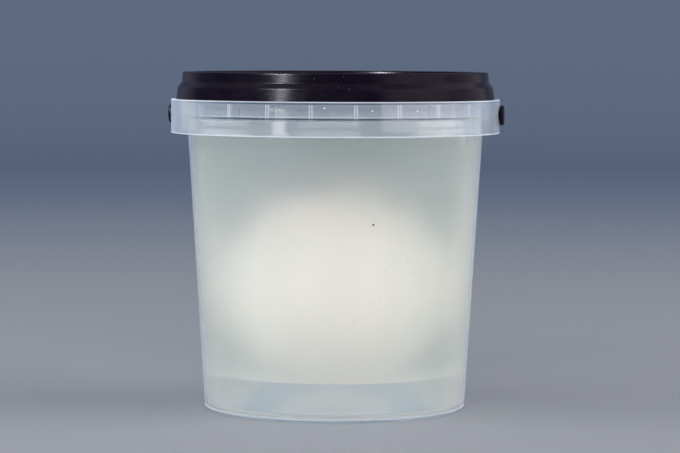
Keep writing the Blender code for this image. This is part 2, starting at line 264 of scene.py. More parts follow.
@dataclass(frozen=True)
class FrostedWall:
    """Frosted natural plastic, bluish and hazy; painted light on its edges, painted shade at web, lip and
    foot.

    Each fade holds (place, result) stops.
    """

    ribs_per_turn: int = 24
    rib_half: float = 0.46 * MM
    line_half: float = 0.18 * MM
    rib_low: float = 111.2 * MM
    rib_high: float = 117.2 * MM
    collar_low: float = 105.85 * MM
    collar_high: float = 117.9 * MM
    collar_from_r: float = 61.5 * MM
    web_low: float = 111.7 * MM
    web_high: float = 112.4 * MM
    web_shine_high: float = 112.8 * MM
    lip_from_z: float = 117.2 * MM
    foot_high: float = 1.0 * MM
    foot_shine_high: float = 2.0 * MM
    foot_from_r: float = 48.0 * MM
    rise_edge: tuple = (20.9 * MM, 22.3 * MM)
    floor_r: float = 31.0 * MM
    floor_top: float = 13.0 * MM
    pivot_reach: float = 40.0 * MM
    clear_tint: tuple = (0.93, 0.935, 0.945)
    # painted shade: dark blue where the web meets the collar
    web_shade_tint: tuple = (0.10, 0.17, 0.30)
    # painted shade from the lid along the collar's top edge
    lip_shade_tint: tuple = (0.42, 0.56, 0.86)
    # painted contact shade: the bottom of the foot ring tinted dark blue
    foot_shade_tint: tuple = (0.42, 0.55, 0.71)
    # the painted light line above the foot: its clear part tinted down, under a pale haze line
    painted_foot_shine_tint: tuple = (0.84, 0.76, 0.70)
    cloud_light: tuple = (0.62, 0.72, 0.86)
    cloud_deep: tuple = (0.52, 0.62, 0.77)
    # painted light: the raised floor lighter and hazier, standing in for light scattered by the milk
    floor_light_colour: tuple = (0.74, 0.79, 0.84)
    # colour of the painted light lines along rims, rib edges, above the web, on the floor's rise and above
    # the foot
    painted_line_colour: tuple = (0.86, 0.92, 0.99)
    lamp_tint: tuple = (0.90, 0.90, 0.90)
    # strengths of the painted light lines
    rib_line: float = 0.85
    web_line: float = 0.5
    rise_line: float = 0.5
    foot_line: float = 0.7
    haze: float = 0.11
    cloud_haze: float = 0.05
    painted_line_haze: float = 0.50
    # haze towards the outline and on the collar's turned parts: partly the longer path through the plastic,
    # partly painted light
    outline_haze: float = 0.42
    collar_haze: float = 0.36
    upper_haze: float = 0.04
    floor_light_haze: float = 0.14
    foot_shade_clears: float = 0.7
    pivot_clears: float = 0.8
    outline_fade: tuple = ((0.50, 0.0), (0.75, 0.38), (0.94, 1.0))
    square_fade: tuple = ((0.25, 1.0), (0.55, 0.0))
    turned_fade: tuple = ((0.22, 0.0), (0.52, 0.8), (0.80, 1.0))
    pivot_fade: tuple = ((0.33, 1.0), (0.50, 0.0))
    glow: float = 0.4
    roughness: float = 0.06
    cloud_roughness: float = 0.05
    cloud_size: float = 16 * MM
    streak_size: float = 0.8 * MM
    streak_stretch: tuple = (0.10, 0.10, 1.0)
    streak_depth: float = 0.0006 * MM

    def painted_light_lines(self, r: Recipe, radius: Wire, square_on: Wire) -> Wire:
        """Find the painted light lines: rims, rib edges, above the web, on the floor's rise and the foot.

        Args:
            r: the wall's recipe.
            radius: distance from the pail's axis.
            square_on: 1 where the wall faces the eye.

        Returns:
            How strong a painted light line is, from 0 to 1.
        """
        x, y, z = r.axes()
        turns = r.sum("ARCTAN2", y, x) * (self.ribs_per_turn / (2 * math.pi))
        off_rib = abs(r.sum("FRACT", turns + 0.5) - 0.5)
        arc = off_rib * (2 * math.pi / self.ribs_per_turn * self.collar_from_r)
        rib_edge = abs(arc - self.rib_half) < self.line_half
        ribs = self.rib_line * rib_edge * r.band(z, self.rib_low, self.rib_high) * square_on
        rims = 1.0 - r.band(z, self.collar_low, self.collar_high)
        web = self.web_line * r.band(z, self.web_high, self.web_shine_high) * square_on
        collar = r.sum("MAXIMUM", r.sum("MAXIMUM", ribs, rims), web)
        rise = r.band(radius, *self.rise_edge) * (z < self.floor_top)
        foot = r.band(z, self.foot_high, self.foot_shine_high) * (radius > self.foot_from_r)
        return collar * (radius > self.collar_from_r) + self.rise_line * rise + self.foot_line * foot

    def material(self) -> bpy.types.Material:
        """Mix the wall's material.

        Returns:
            The material.
        """
        r = Recipe("frosted_pail_plastic")
        radius = r.radius()
        _, y, z = r.axes()
        clouds = r.noise(r.place(), self.cloud_size, detail=3.0)
        streaks = r.noise(r.place(self.streak_stretch), self.streak_size)
        square_on = r.ramp(r.facing(), self.square_fade)
        # painted light on the raised floor, standing in for light scattered by the milk
        painted_floor_light = (radius < self.floor_r) * (z < self.floor_top)
        on_collar = radius > self.collar_from_r
        # painted shade where the web meets the collar, seen square on: a dark tint and no haze
        painted_web_shade = r.band(z, self.web_low, self.web_high) * on_collar * square_on
        # painted shade from the lid along the collar's top edge
        painted_lip_shade = (z > self.lip_from_z) * on_collar
        at_foot = radius > self.foot_from_r
        # painted contact shade on the bottom of the foot ring: a dark blue tint and less haze
        painted_foot_shade = (z < self.foot_high) * at_foot
        # the painted light line above the foot: its clear part tinted down, under a pale haze line
        painted_foot_shine = r.band(z, self.foot_high, self.foot_shine_high) * at_foot
        tint = r.tint(painted_lip_shade, r.tint(painted_web_shade, self.clear_tint, self.web_shade_tint), self.lip_shade_tint)
        tint = r.tint(painted_foot_shine, tint, self.painted_foot_shine_tint)
        clear = r.principled(
            Base_Color=r.tint(painted_foot_shade, tint, self.foot_shade_tint),
            Roughness=self.roughness + self.cloud_roughness * clouds,
            IOR=1.49,
            Transmission_Weight=1.0,
            Coat_Weight=0.5,
            Coat_Roughness=0.07,
            Coat_IOR=1.45,
            Normal=r.bump(streaks, self.streak_depth, strength=0.02),
        )
        # painted light lines: extra pale haze along rims, rib edges, above the web, on the floor's rise and
        # above the foot
        lines = self.painted_light_lines(r, radius, square_on)
        haze = self.haze + self.cloud_haze * (clouds - 0.5)
        haze = haze * (1.0 - painted_web_shade) * (1.0 - self.foot_shade_clears * painted_foot_shade)
        # more haze towards the outline: partly the longer path through the plastic, partly a painted light
        # edge
        haze = haze + self.outline_haze * r.ramp(r.facing(), self.outline_fade)
        haze = haze + self.painted_line_haze * lines + self.floor_light_haze * painted_floor_light
        # painted light on the collar as it turns from the eye, held back near the pivots
        by_pivot = r.ramp(abs(y) * (1.0 / self.pivot_reach), self.pivot_fade)
        turned = r.ramp(r.facing(), self.turned_fade) * (1.0 - self.pivot_clears * by_pivot)
        haze = haze + self.collar_haze * on_collar * turned
        haze = haze + self.upper_haze * on_collar * r.band(z, self.web_shine_high, self.collar_high)
        colour = r.tint(painted_floor_light, r.tint(clouds, self.cloud_deep, self.cloud_light), self.floor_light_colour)
        surface = r.milky(clear, r.tint(lines, colour, self.painted_line_colour), haze, self.glow)
        return r.finish(Surface=r.lamps_through(surface, self.lamp_tint))


@dataclass(frozen=True)
class MilkyBrine:
    """Brine clouded by milk, with a painted warm glow where the cheese is near, cool and deeper round it.

    Each fade or rise holds (place, result) stops. A patch has three sets of them: as the wall turns from
    the eye, from the pail's foot up to the brine's level, and from the left wall to the right one.
    """

    clear_tint: tuple = (0.97, 0.975, 0.97)
    # painted shade: dark blue over the floor's flanks under the cheese
    flank_shade_tint: tuple = (0.43, 0.59, 0.76)
    # painted shade tint for the cheese's shoulders
    shoulder_shade_tint: tuple = (0.78, 0.78, 0.78)
    cloud_cool: tuple = (0.56, 0.65, 0.595)
    # colour of the painted glow
    painted_glow_colour: tuple = (0.945, 0.885, 0.82)
    depth_colour: tuple = (0.88, 0.88, 0.875)
    depth_density: float = 40.0
    lamp_tint: tuple = (0.93, 0.93, 0.92)
    cloud_size: float = 22 * MM
    cloud_stretch: tuple = (1.0, 1.0, 0.7)
    top: float = 111.9 * MM
    wall_r: float = 54.0 * MM
    # where and how the painted glow of the cheese fades
    ball_middle: float = 49.0 * MM
    ball_half: float = 36.0 * MM
    ball_side: float = 0.537
    ball_fade: tuple = (
        (0.0, 1.0), (0.20, 0.90), (0.40, 0.64), (0.55, 0.44), (0.70, 0.26), (0.86, 0.12), (1.0, 0.0))
    floor_rim: float = 14.8 * MM
    flank_foot: float = 3.5 * MM
    flank_lean: float = 0.0063 / MM
    flank_fade: tuple = (
        (0.045, 0.0), (0.08, 0.8), (0.11, 1.0), (0.135, 0.9), (0.18, 0.25), (0.21, 0.0))
    corner_fade: tuple = ((0.13, 0.0), (0.18, 1.0))
    # painted light: more haze towards the outline, rising with height and stronger on the right; partly the
    # longer path through the milk
    side: tuple = (
        ((0.12, 0.0), (0.17, 0.08), (0.21, 0.24), (0.26, 0.40)),
        ((0.10, 0.3), (0.24, 0.7), (0.36, 1.0)),
        ((0.3, 0.5), (0.7, 1.0)),
    )
    # painted shade on the shoulders of the cheese, either side of its middle
    painted_shoulder_shade: tuple = (
        ((0.015, 0.0), (0.05, 0.75), (0.10, 1.0), (0.15, 0.6), (0.18, 0.0)),
        ((0.18, 0.0), (0.32, 1.0), (0.56, 1.0), (0.74, 0.4), (0.78, 0.0)),
        ((0.35, 0.65), (0.65, 1.0)),
    )
    # painted light over the top of the cheese, fading towards the right
    painted_crown_light: tuple = (
        ((0.02, 1.0), (0.06, 0.6), (0.09, 0.0)),
        ((0.60, 0.0), (0.66, 0.8), (0.70, 1.0), (0.74, 0.8), (0.78, 0.0)),
        ((0.50, 1.0), (0.70, 0.1)),
    )
    # haze by height: raised just above the floor's rim as painted light where the cheese shades the floor,
    # lowered towards the level as painted shade below the collar and lid, none on the top face
    haze_rise: tuple = (
        (0.0, 0.22), (0.129, 0.33), (0.134, 0.56), (0.165, 0.57), (0.18, 0.52), (0.30, 0.47),
        (0.52, 0.47), (0.68, 0.43), (0.84, 0.35), (0.99, 0.33), (1.0, 0.0))
    cloud_haze: float = 0.05
    # painted light: more haze at the low corners beside the floor's flanks
    corner_light_haze: float = 0.07
    crown_light_haze: float = 0.13
    flank_shade_clears: float = 0.09
    # painted glow: by height, near the floor and towards the outline
    painted_glow_rise: tuple = ((0.0, 0.5), (0.14, 0.85), (0.36, 1.0))
    foot_fade: tuple = ((0.11, 1.0), (0.18, 0.0))
    painted_foot_glow: float = 0.30
    edge_fade: tuple = ((0.17, 0.0), (0.22, 1.0))
    painted_edge_glow: float = 0.30
    shoulder_shade_cools: float = 0.38
    painted_crown_glow: float = 0.36
    blur_rise: tuple = ((0.10, 0.28), (0.20, 0.34), (0.38, 0.52))
    glow_rise: tuple = ((0.06, 0.20), (0.22, 0.50))

    def near_ball(self, r: Recipe) -> Wire:
        """Find where the cheese is right behind the wall, where the brine's glow is painted.

        Args:
            r: the brine's recipe.

        Returns:
            1 in front of the ball's middle, falling to 0 where there is only brine.
        """
        turned = r.facing()
        across = turned * (2.0 - turned) * (1.0 / self.ball_side ** 2)
        along = (r.axes()[2] - self.ball_middle) * (1.0 / self.ball_half)
        return r.ramp(0.5 * (across + along * along), self.ball_fade)

    def over_floor(self, r: Recipe) -> tuple:
        """Find where the raised floor shows through under the cheese, for painted shade and light.

        Args:
            r: the brine's recipe.

        Returns:
            How much shade is painted on the floor's flanks, and light on the corners beside them.
        """
        z = r.axes()[2]
        low = z < self.floor_rim
        outward = r.facing() + self.flank_lean * (z - self.flank_foot)
        return low * r.ramp(outward, self.flank_fade), low * r.ramp(outward, self.corner_fade)

    def patch(self, r: Recipe, fades: tuple) -> Wire:
        """Shape a soft patch of the wall where light or shade is painted.

        Args:
            r: the brine's recipe.
            fades: the patch's three sets of stops.

        Returns:
            How much of the patch is seen.
        """
        turn, rise, across = fades
        rightward = r.axes()[0] * (0.5 / self.wall_r) + 0.5
        return r.ramp(r.facing(), turn) * r.ramp(r.height(self.top), rise) * r.ramp(rightward, across)

    def material(self) -> bpy.types.Material:
        """Mix the brine's material.

        Returns:
            The material.
        """
        r = Recipe("milky_brine")
        clouds = r.noise(r.place(self.cloud_stretch), self.cloud_size)
        height = r.height(self.top)
        # painted shade on the floor's flanks, painted light at the corners beside them
        painted_flank_shade, painted_corner_light = self.over_floor(r)
        # patches of painted light at the sides and the crown, and of painted shade on the shoulders
        side, painted_shoulder_shade, painted_crown_light = [self.patch(r, fades) for fades in (self.side, self.painted_shoulder_shade, self.painted_crown_light)]
        haze = r.ramp(height, self.haze_rise) + side
        haze = haze + self.corner_light_haze * painted_corner_light - self.flank_shade_clears * painted_flank_shade + self.crown_light_haze * painted_crown_light
        haze = haze + self.cloud_haze * (clouds - 0.5)
        # painted glow: warm, bright cloud where the cheese is near, low down and towards the outline
        painted_glow = r.ramp(height, self.painted_glow_rise) * self.near_ball(r)
        painted_glow = painted_glow + self.painted_foot_glow * r.ramp(height, self.foot_fade)
        painted_glow = painted_glow + self.painted_edge_glow * r.ramp(r.facing(), self.edge_fade)
        painted_glow = painted_glow - self.shoulder_shade_cools * painted_shoulder_shade + self.painted_crown_glow * painted_crown_light
        # painted shade: the clear part darkened on the shoulders
        tint = r.tint(painted_shoulder_shade, self.clear_tint, self.shoulder_shade_tint)
        clear = r.principled(
            Base_Color=r.tint(painted_flank_shade, tint, self.flank_shade_tint),
            Roughness=r.ramp(height, self.blur_rise),
            IOR=1.34,
            Transmission_Weight=1.0,
            Specular_IOR_Level=0.3,
        )
        colour = r.tint(painted_glow, self.cloud_cool, self.painted_glow_colour)
        surface = r.milky(clear, colour, haze, r.ramp(height, self.glow_rise))
        depth = r.node("ShaderNodeVolumeAbsorption", {}, {
            "Color": (*self.depth_colour, 1.0), "Density": self.depth_density})
        return r.finish(Surface=r.lamps_through(surface, self.lamp_tint), Volume=depth)


@dataclass(frozen=True)
class CheeseSkin:
    """Moist white stretched curd: faintly cream, with soft light under the skin."""

    light: tuple = (0.93, 0.91, 0.85)
    cream: tuple = (0.88, 0.85, 0.76)
    patch_size: float = 11 * MM
    strand_size: float = 2.6 * MM
    strand_stretch: tuple = (1.0, 1.0, 0.25)
    strand_depth: float = 0.06 * MM
    patch_share: float = 0.7
    strand_share: float = 0.3
    roughness: float = 0.30
    strand_roughness: float = 0.18
    glow_reach: tuple = (0.006, 0.005, 0.004)

    def material(self) -> bpy.types.Material:
        """Mix the cheese's material.

        Returns:
            The material.
        """
        r = Recipe("burrata_skin")
        patches = r.noise(r.place(), self.patch_size, detail=3.0)
        strands = r.noise(r.place(self.strand_stretch), self.strand_size)
        share = self.patch_share * patches + self.strand_share * strands
        return r.finish(Surface=r.principled(
            Base_Color=r.tint(share, self.cream, self.light),
            Roughness=self.roughness + self.strand_roughness * strands,
            Subsurface_Weight=0.35,
            Subsurface_Radius=self.glow_reach,
            Subsurface_Scale=1.0,
            IOR=1.38,
            Specular_IOR_Level=0.03,
            Normal=r.bump(strands, self.strand_depth, strength=0.4),
        ))


class Gloss(Enum):
    """How a black moulding shines."""

    POLISHED = 0.17
    SATIN = 0.34


@dataclass(frozen=True)
class BlackMoulding:
    """Purple-black moulded plastic with faint rubs and a little dust."""

    name: str
    gloss: Gloss
    base: tuple = (0.0045, 0.0022, 0.0075)
    rubbed: tuple = (0.0080, 0.0055, 0.0120)
    dust: tuple = (0.16, 0.16, 0.18)
    dust_pitch: float = 3.4 * MM
    dust_fade: tuple = ((0.0, 1.0), (0.030, 1.0), (0.045, 0.0))
    rub_size: float = 9 * MM
    rub_fade: tuple = ((0.45, 0.0), (0.75, 1.0))
    grain_size: float = 0.5 * MM
    peel_stretch: tuple = (0.5, 0.5, 1.0)
    peel_depth: float = 0.0015 * MM
    streak_stretch: tuple = (0.12, 0.12, 1.0)
    streak_fade: tuple = ((0.42, 0.0), (0.66, 1.0))
    rub_roughness: float = 0.05
    streak_roughness: float = 0.06
    dust_roughness: float = 0.4

    def material(self) -> bpy.types.Material:
        """Mix the moulding's material.

        Returns:
            The material.
        """
        r = Recipe(self.name)
        rubs = r.noise(r.place(), self.rub_size, detail=4.0, rough=0.6)
        peel = r.noise(r.place(self.peel_stretch), self.grain_size)
        streaks = r.ramp(r.noise(r.place(self.streak_stretch), self.grain_size), self.streak_fade)
        cell = r.node("ShaderNodeTexVoronoi", {}, {
            "Vector": r.place(), "Scale": 1.0 / self.dust_pitch}, "Distance")
        specks = r.ramp(cell, self.dust_fade)
        roughness = self.gloss.value + self.rub_roughness * rubs
        roughness = roughness + self.streak_roughness * streaks + self.dust_roughness * specks
        colour = r.tint(r.ramp(rubs, self.rub_fade), self.base, self.rubbed)
        return r.finish(Surface=r.principled(
            Base_Color=r.tint(specks, colour, self.dust),
            Roughness=roughness,
            IOR=1.45,
            Specular_IOR_Level=0.13,
            Normal=r.bump(peel, self.peel_depth, strength=0.5),
        ))


@dataclass(frozen=True)
class ClearDrop:
    """Clear water."""

    tint: tuple = (0.95, 0.98, 1.0)
    lamp_tint: tuple = (0.95, 0.97, 1.0)

    def material(self) -> bpy.types.Material:
        """Mix the drop's material.

        Returns:
            The material.
        """
        r = Recipe("clear_drop")
        surface = r.principled(
            Base_Color=(*self.tint, 1.0), Roughness=0.03, IOR=1.33, Transmission_Weight=1.0)
        return r.finish(Surface=r.lamps_through(surface, self.lamp_tint))


@dataclass(frozen=True)
class Grain:
    """A tiny mottled grain on the wall: a dark fleck, or a painted glint."""

    name: str
    deep: tuple
    light: tuple
    mottle_size: float
    roughness: float

    def material(self) -> bpy.types.Material:
        """Mix the grain's material.

        Returns:
            The material.
        """
        r = Recipe(self.name)
        mottle = r.noise(r.place(), self.mottle_size, detail=1.0)
        return r.finish(Surface=r.principled(
            Base_Color=r.tint(mottle, self.deep, self.light), Roughness=self.roughness))


# painted glints: tiny pale domes in place of the glints of drops on the wall and the collar
PAINTED_GLINT = Grain("painted_glint", (0.86, 0.92, 0.98), (0.96, 0.98, 1.0), 0.4 * MM, 0.25)
DARK_FLECK = Grain("dark_fleck", (0.05, 0.04, 0.03), (0.10, 0.08, 0.07), 0.3 * MM, 0.7)


@dataclass(frozen=True)
class StudioPaint:
    """Matt, faintly mottled paint: pale on the floor, deeper towards the backdrop."""

    floor: tuple = (0.325, 0.345, 0.385)
    backdrop: tuple = (0.22, 0.275, 0.38)
    pale_to_r: float = 0.5
    deep_from_r: float = 1.5
    mottle_size: float = 60 * MM
    mottle_share: float = 0.04

    def material(self) -> bpy.types.Material:
        """Mix the floor's material.

        Returns:
            The material.
        """
        r = Recipe("studio_paint")
        mottle = r.noise(r.place(), self.mottle_size, detail=3.0)
        far = (r.radius() - self.pale_to_r) * (1.0 / (self.deep_from_r - self.pale_to_r))
        depth = r.ramp(far + self.mottle_share * (mottle - 0.5), ((0.0, 0.0), (1.0, 1.0)))
        return r.finish(Surface=r.principled(
            Base_Color=r.tint(depth, self.floor, self.backdrop), Roughness=0.8, Specular_IOR_Level=0.2))


# ---------------- shaping


def rounded(corners: list, steps: int = 5) -> list:
    """A polyline through corners with round ones.

    Args:
        corners: (r, z, fillet radius) triples.
        steps: parts that each fillet's arc is cut into.

    Returns:
        Points (r, z) as vectors.
    """
    points = []
    for i, (r, z, fillet) in enumerate(corners):
        here = Vector((r, z))
        if fillet == 0 or i in (0, len(corners) - 1):
            points.append(here)
            continue
        back = (Vector(corners[i - 1][:2]) - here).normalized()
        ahead = (Vector(corners[i + 1][:2]) - here).normalized()
        half = back.angle(ahead) / 2
        centre = here + (back + ahead).normalized() * (fillet / math.sin(half))
        start = here + back * (fillet / math.tan(half)) - centre
        turn = start.angle_signed(here + ahead * (fillet / math.tan(half)) - centre)
        for k in range(steps + 1):
            points.append(centre + Matrix.Rotation(-turn * k / steps, 2) @ start)
    return points


def profile(corners: list) -> list:
    """A rounded polyline with no stretch longer than LONGEST_EDGE, for even faces.

    Args:
        corners: (r, z, fillet radius) triples.

    Returns:
        Points (r, z) as vectors.
    """
    points = rounded(corners)
    out = [points[0]]
    for one, two in zip(points, points[1:]):
        parts = max(1, math.ceil((two - one).length / LONGEST_EDGE))
        out += [one.lerp(two, k / parts) for k in range(1, parts + 1)]
    return out


def put(name: str, data: bpy.types.ID) -> bpy.types.Object:
    """Put a mesh, a camera or a light into the scene.

    Args:
        name: the object's name.
        data: what it shows.

    Returns:
        The object.
    """
    made = bpy.data.objects.new(name, data)
    bpy.context.scene.collection.objects.link(made)
    return made


def add_piece(name: str, mesh: bpy.types.Mesh, material: bpy.types.Material) -> bpy.types.Object:
    """Put a mesh in one material into the scene.

    Args:
        name: the piece's name.
        mesh: its shape.
        material: its finish.

    Returns:
        The piece.
    """
    piece = put(name, mesh)
    mesh.materials.clear()
    mesh.materials.append(material)
    return piece


def close_mesh(bm: bmesh.types.BMesh, name: str, sharp_deg: float = 35.0) -> bpy.types.Mesh:
    """Turn loose faces into a smooth mesh that keeps its sharp edges.

    Args:
        bm: the faces, which are freed.
        name: the mesh's name.
        sharp_deg: angle from which an edge stays sharp.

    Returns:
        The mesh.
    """
    bmesh.ops.recalc_face_normals(bm, faces=bm.faces)
    mesh = bpy.data.meshes.new(name)
    bm.to_mesh(mesh)
    bm.free()
    mesh.shade_smooth()
    mesh.set_sharp_from_angle(angle=math.radians(sharp_deg))
    return mesh


def lathe(name: str, points: list, segments: int = 192) -> bpy.types.Mesh:
    """Spin a half section once round Z.

    Args:
        name: the mesh's name.
        points: the half section's (r, z) vectors.
        segments: steps of the turn.

    Returns:
        The turned mesh.
    """
    bm = bmesh.new()
    verts = [bm.verts.new((p.x, 0.0, p.y)) for p in points]
    edges = [bm.edges.new(pair) for pair in zip(verts, verts[1:])]
    bmesh.ops.spin(
        bm, geom=verts + edges, cent=(0, 0, 0), axis=(0, 0, 1), angle=2 * math.pi,
        steps=segments, use_merge=True,
    )
    bmesh.ops.remove_doubles(bm, verts=bm.verts, dist=0.001 * MM)
    return close_mesh(bm, name)


class Step(Enum):
    """What a tool mesh does to a blank."""

    JOIN = "UNION"
    CUT = "DIFFERENCE"


def merged(target: bpy.types.Mesh, steps: list, name: str) -> bpy.types.Mesh:
    """Join tool meshes to a blank or cut them from it.

    Args:
        target: the mesh to start from.
        steps: (step, tool mesh) pairs.
        name: what the result is called.

    Returns:
        The finished mesh.
    """
    blank = put(name + "_blank", target)
    tools = []
    for step, mesh in steps:
        change = blank.modifiers.new(step.name, "BOOLEAN")
        change.operation = step.value
        change.solver = "EXACT"
        change.object = put(name + "_tool", mesh)
        tools.append(change.object)
    seen = blank.evaluated_get(bpy.context.evaluated_depsgraph_get())
    mesh = bpy.data.meshes.new_from_object(seen)
    for old in [blank, *tools]:
        bpy.data.objects.remove(old)
    bm = bmesh.new()
    bm.from_mesh(mesh)
    return close_mesh(bm, name)


def bridge(bm: bmesh.types.BMesh, rings: list, capped: bool = False) -> None:
    """Join each ring of vertices to the next one.

    Args:
        bm: where the faces are added.
        rings: rings of as many vertices each.
        capped: whether the first and the last ring are closed.
    """
    for one, two in zip(rings, rings[1:]):
        for k in range(len(one)):
            j = (k + 1) % len(one)
            bm.faces.new((one[k], one[j], two[j], two[k]))
    if capped:
        bm.faces.new(rings[0])
        bm.faces.new(reversed(rings[-1]))


def bars_along_x(name: str, stations: list, z: float, segments: int = 64) -> bpy.types.Mesh:
    """Turn a closed bar along X on both sides of the pail.

    Args:
        name: the mesh's name.
        stations: (radius, distance along X) pairs.
        z: height of the bars' axis.
        segments: corners of a ring.

    Returns:
        Both bars in one mesh.
    """
    bm = bmesh.new()
    angles = [2 * math.pi * k / segments for k in range(segments)]
    for side in (1, -1):
        rings = [
            [bm.verts.new((side * x, radius * math.cos(a), z + radius * math.sin(a))) for a in angles]
            for radius, x in stations
        ]
        bridge(bm, rings, capped=True)
    return close_mesh(bm, name)


# ---------------- the photographed view


@dataclass(frozen=True)
class PhotoCamera:
    """The camera as fitted to the outlines of the pail's foot, collar and lid in the photograph."""

    width_px: float = 680.0
    height_px: float = 453.0
    focal_px: float = 2622.6
    sensor_mm: float = 36.0
    away: float = 1004.7 * MM
    height: float = 137.4 * MM
    turn_deg: float = 8.2
    axis_left_deg: float = 0.109
    pitch_deg: float = 3.876
    roll_deg: float = 0.2
    nearest: float = 0.01
    farthest: float = 50.0

    def pose(self) -> Matrix:
        """Find where the camera stands and how it is turned.

        Returns:
            Its matrix in the frame.
        """
        turn = math.radians(self.turn_deg)
        spot = Vector((self.away * math.sin(turn), -self.away * math.cos(turn), self.height))
        heading = Matrix.Rotation(turn - math.radians(self.axis_left_deg), 4, "Z")
        tilt = Matrix.Rotation(math.radians(90.0 - self.pitch_deg), 4, "X")
        roll = Matrix.Rotation(math.radians(self.roll_deg), 4, "Z")
        return Matrix.Translation(spot) @ heading @ tilt @ roll

    def build(self) -> None:
        """Make it the scene's camera."""
        data = bpy.data.cameras.new("photo_camera")
        data.sensor_width = self.sensor_mm
        data.lens = self.focal_px * self.sensor_mm / self.width_px
        data.clip_start, data.clip_end = self.nearest, self.farthest
        camera = put("photo_camera", data)
        camera.matrix_world = self.pose()
        bpy.context.scene.camera = camera

    def ray(self, x_px: float, y_px: float) -> tuple:
        """The ray through a pixel of the photograph.

        Args:
            x_px: pixels from the left edge.
            y_px: pixels from the top edge.

        Returns:
            Its start and its unit direction.
        """
        pose = self.pose()
        local = Vector((x_px - self.width_px / 2, self.height_px / 2 - y_px, -self.focal_px))
        return pose.translation, (pose.to_3x3() @ local).normalized()


# ---------------- the pail


@dataclass
class Pail:
    """The frosted moulding: tapered wall, raised floor, foot ring, rim bead, collar, ribs and lugs."""

    finish: FrostedWall
    wall: float = 0.9 * MM
    base_r: float = 49.85 * MM
    collar_foot_z: float = 105.4 * MM
    body_top_r: float = 56.3 * MM
    foot_width: float = 2.6 * MM
    floor_under_z: float = 1.3 * MM
    floor_z: float = 2.4 * MM
    rise_top_z: float = 12.2 * MM
    rise_top_r: float = 22.0 * MM
    rise_foot_r: float = 30.2 * MM
    rim_top_z: float = 122.0 * MM
    rim_bead_r: float = 58.6 * MM
    rim_bead_under_z: float = 118.9 * MM
    collar_r: float = 62.8 * MM
    skin: float = 1.0 * MM
    collar_top_z: float = 118.3 * MM
    web_z: float = 112.4 * MM
    web_thick: float = 1.0 * MM
    rib_thick: float = 0.8 * MM
    rib_top_z: float = 116.4 * MM
    rib_pitch_deg: int = 15
    pivot_z: float = 112.4 * MM
    lug_r: float = 4.4 * MM
    hole_r: float = 2.4 * MM
    hole_floor_x: float = 59.0 * MM

    def slope(self) -> float:
        """How much the tapered wall's radius gains over its height."""
        return (self.body_top_r - self.base_r) / self.collar_foot_z

    def wall_r(self, z: float) -> float:
        """Outer radius of the tapered wall at a height."""
        return self.base_r + (self.body_top_r - self.base_r) * z / self.collar_foot_z

    def outline(self) -> list:
        """Draw the half section, from the floor's middle up the inside, over the rim and down the outside.

        Returns:
            Points (r, z) as vectors.
        """
        skin_r = self.collar_r - self.skin
        web_under = self.web_z - self.web_thick
        foot_inner = self.base_r - self.foot_width
        inside = [
            (0.0, self.rise_top_z, 0),
            (self.rise_top_r, self.rise_top_z, 1.0 * MM),
            (self.rise_foot_r, self.floor_z, 1.0 * MM),
            (self.wall_r(self.floor_z) - self.wall, self.floor_z, 1.5 * MM),
        ]
        rim = [
            (self.wall_r(self.rim_top_z) - self.wall, self.rim_top_z, 0.4 * MM),
            (self.rim_bead_r, self.rim_top_z, 0.7 * MM),
            (self.rim_bead_r, self.rim_bead_under_z, 0.5 * MM),
            (self.wall_r(self.rim_bead_under_z), self.rim_bead_under_z, 0),
        ]
        collar = [
            (self.wall_r(self.web_z), self.web_z, 0.3 * MM),
            (skin_r, self.web_z, 0.3 * MM),
            (skin_r, self.collar_top_z, 0.4 * MM),
            (self.collar_r, self.collar_top_z, 0.4 * MM),
            (self.collar_r, self.collar_foot_z, 0.35 * MM),
            (skin_r, self.collar_foot_z, 0.3 * MM),
            (skin_r, web_under, 0.3 * MM),
            (self.wall_r(web_under), web_under, 0.3 * MM),
        ]
        base = [
            (self.base_r, 0.0, 1.2 * MM),
            (foot_inner, 0.0, 0.5 * MM),
            (foot_inner, self.floor_under_z, 0.3 * MM),
            (self.rise_foot_r - self.wall / 2, self.floor_under_z, 0.5 * MM),
            (self.rise_top_r - self.wall, self.rise_top_z - self.wall, 0.5 * MM),
            (0.0, self.rise_top_z - self.wall, 0),
        ]
        return profile(inside + rim + collar + base)

    def ribs(self) -> bpy.types.Mesh:
        """Shape the upright ribs between wall and collar, none at the pivots.

        Returns:
            The ribs in one mesh.
        """
        inner = self.wall_r(self.web_z) - self.wall / 2
        outer = self.collar_r - self.skin / 2
        low = self.web_z - self.web_thick / 2
        size = Vector((outer - inner, self.rib_thick, self.rib_top_z - low))
        middle = Vector(((outer + inner) / 2, 0.0, (self.rib_top_z + low) / 2))
        bm = bmesh.new()
        for angle in range(0, 360, self.rib_pitch_deg):
            if angle % 180:
                place = Matrix.Rotation(math.radians(angle), 4, "Z") @ Matrix.Translation(middle)
                bmesh.ops.create_cube(bm, size=1.0, matrix=place @ Matrix.Diagonal((*size, 1.0)))
        return close_mesh(bm, "ribs")

    def lugs(self, radius: float, start_x: float, end_x: float) -> bpy.types.Mesh:
        """A pair of bars at the pivots, of one radius and from one distance along X to another."""
        return bars_along_x("lugs", [(radius, start_x), (radius, end_x)], self.pivot_z)

    def build(self) -> bpy.types.Object:
        """Build the whole moulding as one piece.

        Returns:
            The pail.
        """
        wall_here = self.wall_r(self.pivot_z) - self.wall / 2
        steps = [
            (Step.JOIN, self.ribs()),
            (Step.JOIN, self.lugs(self.lug_r, wall_here, self.collar_r - self.skin / 2)),
            (Step.CUT, self.lugs(self.hole_r, self.hole_floor_x, self.collar_r + self.wall)),
        ]
        mesh = merged(lathe("pail_turning", self.outline()), steps, "pail_moulding")
        piece = add_piece("pail_moulding", mesh, self.finish.material())
        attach(piece, "pail")
        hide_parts("tub", "tub_floor")
        return piece


# ---------------- the lid


